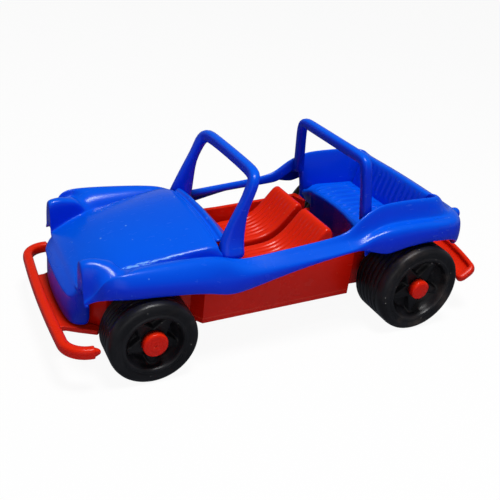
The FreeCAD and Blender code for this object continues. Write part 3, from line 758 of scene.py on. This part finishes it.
def rear_bench():
    """The bench between the tub walls: ribbed seat, and a front lip that bows forward in the middle."""
    seat_z = 35.2
    line = [(REAR_X + 17.4, FOOT_Z), (REAR_X + 17.4, 24.0), (REAR_X + 18.2, 33.4), (REAR_X + 18.9, seat_z),
            (REAR_X + 18.3, 36.1), (REAR_X + 17.4, 36.0), (REAR_X + 16.6, seat_z), (REAR_X + 15.0, seat_z),
            (REAR_X + 13.6, seat_z), (REAR_X + 5.0, seat_z), (REAR_X + 0.6, seat_z), (REAR_X - 0.8, seat_z),
            (REAR_X - 4.6, seat_z + 0.1)]
    ribbed = [0, 0, 0, 0, 0, 0, 0, 0, 1, 1, 1, 0, 0]
    rows = ribbed_run(line, 22.6, 12, 1.5, ribbed, 96)
    # from the car's middle outwards: how far the lip stands ahead of the outline
    lip = ((0.0, -1.2), (7.0, -0.8), (12.0, 0.2), (15.0, 0.5), (18.0, 0.5), (22.6, 0.3))
    lip_shares = (1, 1, 1, 1, 1, 1, 1, 0.6)
    drop_shares = (0, 0, 1, 1, 1, 0.9, 0.7, 0.3)
    inside_pan = 16.0
    for row in rows:
        across = abs(row[0].y) / MM
        bow = between(lip, across)
        drop = 2.6 * smooth_step(14.5, 22.0, across)
        row[0].z, row[1].z = (FOOT_Z * MM, 24.0 * MM) if across < inside_pan else (29.0 * MM, 30.5 * MM)
        for point, lip_share, drop_share in zip(row, lip_shares, drop_shares):
            point.x += bow * lip_share * MM
            point.y *= 0.96
            point.z -= drop * drop_share * MM
    bm = bmesh.new()
    sheet(bm, rows)
    top_up(bm)
    piece("bench_skin", bm, blue, "car", ["rear_bench"], wall=1.0, levels=1)


rear_bench()

# ------------------------------------------------------------------ red pan, seats, bumpers

softened("chassis_pan", "pan_moulding", red, 0.45)


def seat(side_name):
    """A bucket seat: a ribbed skin over the top, closed by soft edges down both sides."""
    low, high = node_mm(f"{side_name}_seat")
    back = low.x + 0.5
    middle = (low.y + high.y) / 2
    half = (high.y - low.y) / 2
    edge = 1.1
    line = [(back - 0.3, FOOT_Z), (back - 0.2, 30.0), (back + 0.2, 35.2), (back + 0.9, 36.8),
            (back + 2.2, 37.3), (back + 3.4, 36.8), (back + 4.6, 35.4), (back + 7.0, 32.4),
            (back + 10.0, 28.9), (back + 13.5, 26.3), (back + 17.5, 25.0), (back + 22.5, 24.6),
            (back + 26.3, 24.3), (back + 28.5, 23.4), (back + 29.4, 21.8), (back + 29.7, FOOT_Z)]
    ribbed = [0, 0, 0, 0, 0, 0, 0.4, 1, 1, 1, 1, 1, 0.7, 0.2, 0, 0]
    rows = ribbed_run(line, half - edge, 7, 0.5, ribbed, 56)
    foot = FOOT_Z * MM
    folds = []
    for edge_row, way in ((rows[0], -1), (rows[-1], 1)):
        fold = [[Vector((p.x, p.y + way * out * MM, max(p.z - drop * MM, foot))) for p in edge_row]
                for out, drop in ((0.75, 0.25), (edge, 1.0), (edge, 2.4))]
        fold.append([Vector((p.x, p.y + way * edge * MM, foot)) for p in edge_row])
        folds.append(fold)
    bm = bmesh.new()
    sheet(bm, folds[0][::-1] + rows + folds[1])
    shift(bm, 0, middle, 0)
    top_up(bm)
    piece(f"{side_name}_seat_moulding", bm, red, "car", [f"{side_name}_seat"], levels=1)


def bumper_plate(bar_front):
    """The flat plate that joins the front bumper to the pan's nose."""
    base = node_mm("chassis_pan")[0].z
    plan = ((bar_front - FRONT_X, 16.5), (22.5, 17.1), (18.9, 19.4), (13.9, 22.2), (12.2, 20.5), (14.7, 17.5),
            (18.5, 15.7))
    outline = [spot(FRONT_X + x, y, base) for x, y in plan]
    outline += [spot(FRONT_X + x, -y, base) for x, y in plan[::-1]]
    piece("bumper_plate", plate(outline, spot(0, 0, 1.8)), red, "car", [], rounding=0.35)


def front_bumper():
    """An oval bar, bowed between two round corners, with a flat plate back round the pan's nose."""
    high = node_mm("front_bumper")[1]
    tall, deep = 1.95, 1.7
    bend = 8.5
    level = high.z - tall
    bar_x = high.x - deep
    half = high.y - deep
    # along the left half of the bar: x, y, turn of the ring in degrees
    stations = [(bar_x - 0.72 * t * t, (half - bend) * t, 90 - 3 * t) for t in (0, 0.25, 0.5, 0.75, 0.92, 1.0)]
    corner_x = stations[-1][0] - bend
    corner_y = half - bend
    for turn in (75, 60, 45, 30, 15, 0):
        angle = math.radians(turn)
        square = 1 + 0.06 * math.sin(2 * angle)
        stations.append((
            corner_x + bend * square * math.sin(angle), corner_y + bend * square * math.cos(angle), turn))
    end = FRONT_X + 17.2
    sizes = [1.0] * len(stations) + [0.85, 0.6, 0.3]
    stations += [(end + 1.5, half, 0), (end, half, 0), (end - 1.1, half + 0.2, 0)]
    run = list(zip(stations, sizes))
    rings = []
    for side, part in ((-1, run[::-1]), (1, run[1:])):
        for (x, y, turn), size in part:
            angle = math.radians(turn)
            out = Vector((math.sin(angle), side * math.cos(angle), 0))
            centre = Vector((x, side * y, level))
            rings.append(oval_ring(centre, out, Vector((0, 0, 1)), deep * size, tall * size))
    bm = bmesh.new()
    tube(bm, rings)
    piece("nose_bumper", bm, red, "car", ["front_bumper"], levels=2)
    bumper_plate(bar_x)


def grooved_section(front, rear, bottom, top, groove):
    """The bar's outline across its width: soft corners, and a groove sunk between two ridges."""
    soft = min(0.9, (top - bottom) * 0.3)

    def ridge(edge, inwards):
        return [(edge, top - soft), (edge + 0.25 * inwards, top - soft * 0.25), (edge + 0.8 * inwards, top),
                (edge + 1.5 * inwards, top), (edge + 2.0 * inwards, top - groove * 0.2),
                (edge + 2.3 * inwards, top - groove * 0.85), (edge + 2.9 * inwards, top - groove)]

    return [
        (front - 0.9, bottom), (rear + 0.9, bottom),
        (rear + 0.25, bottom + soft * 0.28), (rear, bottom + soft),
        *ridge(rear, 1), *ridge(front, -1)[::-1],
        (front, bottom + soft), (front - 0.25, bottom + soft * 0.28)]


def tail_bumper():
    """A bowed bar with a long groove, rising to the rear, and the tongue that carries it."""
    low, high = node_mm("rear_bumper")
    tilt = math.radians(34.0)
    wide, bow, thick, groove = 8.8, 4.5, 3.2, 1.7
    reach = (wide + bow) * math.cos(tilt)

    def place(along_slope, y, up):
        return spot(
            low.x + reach + along_slope * math.cos(tilt) + up * math.sin(tilt), y,
            low.z - along_slope * math.sin(tilt) + up * math.cos(tilt))

    # share of the half width, trim at both edges, trim of the thickness, depth of the groove
    stations = [(1.0, 2.8, 1.0, 0.0), (0.988, 1.6, 0.5, 0.0), (0.965, 0.6, 0.15, 0.0), (0.94, 0.1, 0.0, 0.0),
                (0.925, 0.0, 0.0, 0.2), (0.91, 0.0, 0.0, 1.5), (0.87, 0.0, 0.0, groove)]
    stations += [(0.8 - step * 0.08, 0.0, 0.0, groove) for step in range(10)]
    run = [(-share, *trims) for share, *trims in stations] + [(0.0, 0.0, 0.0, groove)] + stations[::-1]
    rings = []
    for share, trim, thin, depth in run:
        front = -bow * (1 - share ** 2) - trim
        section = grooved_section(front, front - wide + 2 * trim, thin, thick - thin, depth)
        rings.append([place(a, share * high.y, up) for a, up in section])
    bm = bmesh.new()
    tube(bm, rings)
    piece("tail_bumper", bm, red, "car", ["rear_bumper"], levels=1)
    plan = ((-bow - 1.0, 9.0), (2.1, 8.0), (2.1, -8.0), (-bow - 1.0, -9.0))
    tongue = plate([place(a, y, 0.1) for a, y in plan], place(0, 0, thick - 0.3) - place(0, 0, 0))
    piece("tail_tongue", tongue, red, "car", [], rounding=0.3)


for side_name in ("left", "right"):
    seat(side_name)
front_bumper()
tail_bumper()

# ------------------------------------------------------------------ wheels and pins


SPOKES = 5
BORE = 2.2
HUB = 4.4


def wheel_profile(radius, width, rim, dish, grooves):
    """Outline of half a wheel as (radius, y), from the bore over dish, bead, tyre and tread to the back."""
    profile = [(BORE, -dish), (3.2, -dish)]
    profile += [(HUB + (rim - 5.2) * step / 12, -dish) for step in range(13)]
    profile += [(rim - 0.5, -dish + 0.35), (rim - 0.25, -dish * 0.62), (rim - 0.05, -dish * 0.35),
                (rim + 0.15, -0.4), (rim + 0.45, -0.12), (rim + 0.85, -0.02),
                (rim + 1.2, -0.1), (rim + 1.45, -0.3), (rim + 1.8, -0.32)]
    profile += [(rim + 2.4, -0.22), ((rim + radius) / 2 + 0.6, -0.06), (radius - 1.7, -0.1),
                (radius - 1.15, -0.22), (radius - 0.65, -0.5), (radius - 0.3, -0.95), (radius - 0.1, -1.6),
                (radius, -2.4)]
    start, stop, sunk = 4.6, width - 1.6, radius - 0.22
    for groove in range(grooves):
        at = start + (stop - start) * groove / (grooves - 1)
        profile += [(radius, -at + 0.34), (sunk, -at + 0.12), (sunk, -at - 0.12), (radius, -at - 0.34)]
    profile += [(radius - 0.15, -width + 0.7), (radius - 0.6, -width + 0.2), (radius - 1.4, -width),
                (rim + 0.6, -width), (rim, -width + 0.6), (rim - 0.8, -dish - 2.6), (4.2, -dish - 2.6),
                (3.6, -width + 0.4), (3.2, -width), (BORE, -width), (BORE, -dish)]
    return profile


def press_star(bm, rim, dish):
    """Sinks the dish between its arms, which narrow towards the rim."""
    for vert in bm.verts:
        away = math.hypot(vert.co.x, vert.co.z) / MM
        if not (4.5 < away < rim - 0.3 and vert.co.y / MM > -dish - 0.6):
            continue
        angle = math.atan2(vert.co.x, -vert.co.z)
        from_arm = abs(math.remainder(angle * SPOKES / math.tau, 1.0)) * math.tau / SPOKES * away
        half = 2.5 - 2.1 * (away - 4.6) / (rim - 4.6)
        pocket = smooth_step(half, half + 0.55, from_arm) * smooth_step(4.5, 4.9, away)
        pocket *= smooth_step(rim - 0.4, rim - 2.6, away)
        vert.co.y -= 2.1 * pocket * MM


def set_at_axle(bm, end, side, radius):
    """Moves a left-hand body from the origin to its axle's end."""
    if side < 0:
        flip_side(bm)
    shift(bm, FRONT_X if end == "front" else REAR_X, side * FACE, radius)


def wheel(end, side_name, side, radius, width, rim, dish, grooves):
    """A tyre and its dish in one moulding: tread grooves, bead ring, five-armed star round the pin."""
    bm = turned(wheel_profile(radius, width, rim, dish, grooves), 160)
    press_star(bm, rim, dish)
    set_at_axle(bm, end, side, radius)
    name = f"{end}_{side_name}_wheel"
    piece(f"{end}_{side_name}_tyre", bm, black, name, [name])


# the pins' heads as (radius, y): at the front turning rings and a centre dimple, at the rear plain
PIN_HEADS = {
    "front": ((0.001, 0.1), (0.3, 0.2), (0.55, 0.5), (1.0, 0.5), (1.2, 0.44),
              (1.4, 0.5), (2.0, 0.48), (2.2, 0.41), (2.4, 0.46), (3.0, 0.38)),
    "rear": ((0.001, 0.4), (1.0, 0.4), (2.0, 0.35), (3.0, 0.2))}


def hub_pin(end, side_name, side, radius, dish, head, length):
    """A pushed-in pin with a nearly flat head."""
    shaft = 1.9
    edge_y = PIN_HEADS[end][-1][1]
    profile = [*PIN_HEADS[end], (head - 0.5, edge_y - 0.08), (head - 0.15, edge_y - 0.28),
               (head, edge_y - 0.65), (head, -dish + 0.1), (shaft, -dish + 0.1), (shaft, -length),
               (0.001, -length)]
    bm = turned(profile, 64)
    set_at_axle(bm, end, side, radius)
    piece(f"{end}_{side_name}_pin", bm, red, "car", [f"{end}_{side_name}_hub_pin"])


FRONT_DISH, REAR_DISH = 2.6, 2.8
for side_name, side in (("left", 1), ("right", -1)):
    wheel("front", side_name, side, FRONT_R, 13.0, 9.0, FRONT_DISH, 5)
    wheel("rear", side_name, side, REAR_R, 17.5, 11.4, REAR_DISH, 6)
    hub_pin("front", side_name, side, FRONT_R, FRONT_DISH, 4.0, 18.0)
    hub_pin("rear", side_name, side, REAR_R, REAR_DISH, 3.6, 22.0)

# ------------------------------------------------------------------ stage, light and camera


def floor():
    """A pale matt floor: it catches the shadow, and gloss sees it dim."""
    bm = bmesh.new()
    bmesh.ops.create_grid(bm, x_segments=2, y_segments=2, size=2.5)
    mesh = bpy.data.meshes.new("floor")
    bm.to_mesh(mesh)
    bm.free()
    made = bpy.data.objects.new("floor", mesh)
    bpy.context.scene.collection.objects.link(made)
    finish = Finish("white_floor")
    finish.tree.nodes.remove(finish.shader)
    glossy = finish.ray("Glossy")
    seen = 0.94 * finish.ray("Camera") + glossy
    matt = finish.make("ShaderNodeBsdfDiffuse", {}, {"Color": (0.9, 0.9, 0.9, 1)})
    shine = finish.blend(glossy, (1, 1, 1, 1), (0.1, 0.11, 0.13, 1))
    glow = finish.make("ShaderNodeEmission", {}, {"Color": shine, "Strength": 1.0})
    mixed = finish.make("ShaderNodeMixShader", {}, {0: seen, 1: matt, 2: glow})
    finish.feed(finish.tree.nodes["Material Output"], {"Surface": mixed})
    mesh.materials.append(finish.material)


def backdrop():
    """White behind the car; gloss sees it bright near the horizon and dark overhead, where the lamps hang."""
    world = bpy.data.worlds.new("studio")
    sky = Nodes(world)
    bpy.context.scene.world = world
    camera_ray = sky.ray("Camera")
    direction = sky.make("ShaderNodeTexCoord", {}, {}, "Generated")
    up = sky.axes(direction)[2]
    horizon = sky.make("ShaderNodeMapRange", {}, {0: up, 1: 0.05, 2: 0.35, 3: 1.0, 4: 0.04})
    shown = maths("MAXIMUM", horizon, camera_ray)
    direct = sky.ray("Glossy") * 0.35 + camera_ray
    strength = sky.make("ShaderNodeMix", {"data_type": "FLOAT"}, {0: direct, 2: 0.14, 3: shown})
    sky.feed(sky.tree.nodes["Background"], {"Color": (1, 1, 1, 1), "Strength": strength})


def lamp(name, place, size, power):
    """A square lamp that faces the car."""
    data = bpy.data.lights.new(name, "AREA")
    data.size = size
    data.energy = power
    made = bpy.data.objects.new(name, data)
    made.location = place
    made.rotation_euler = (-Vector(place)).to_track_quat("-Z", "Y").to_euler()
    bpy.context.scene.collection.objects.link(made)


def camera():
    """A camera at the front left, above the car, tilted a little to one side."""
    data = bpy.data.cameras.new("camera")
    data.sensor_width = 36.0
    data.lens = 50.13
    made = bpy.data.objects.new("camera", data)
    yaw, pitch, roll = (math.radians(angle) for angle in (-118.826, -27.394, 6.6365))
    look = Vector((math.cos(pitch) * math.cos(yaw), math.cos(pitch) * math.sin(yaw), math.sin(pitch)))
    right = look.cross(Vector((0, 0, 1))).normalized()
    up = right.cross(look)
    tilted_right = right * math.cos(roll) + up * math.sin(roll)
    tilted_up = up * math.cos(roll) - right * math.sin(roll)
    turn = Matrix((tilted_right, tilted_up, -look)).transposed()
    place = spot(FRONT_X + 60.95, 199.02, 138.99)
    made.matrix_world = Matrix.Translation(place) @ turn.to_4x4()
    bpy.context.scene.collection.objects.link(made)
    bpy.context.scene.camera = made


floor()
backdrop()
lamp("key", (0.02, 0.12, 0.6), 0.15, 3.1)
lamp("fill", (0.25, 0.6, 0.25), 0.4, 0.4)
camera()
bpy.context.scene.view_settings.view_transform = "Standard"
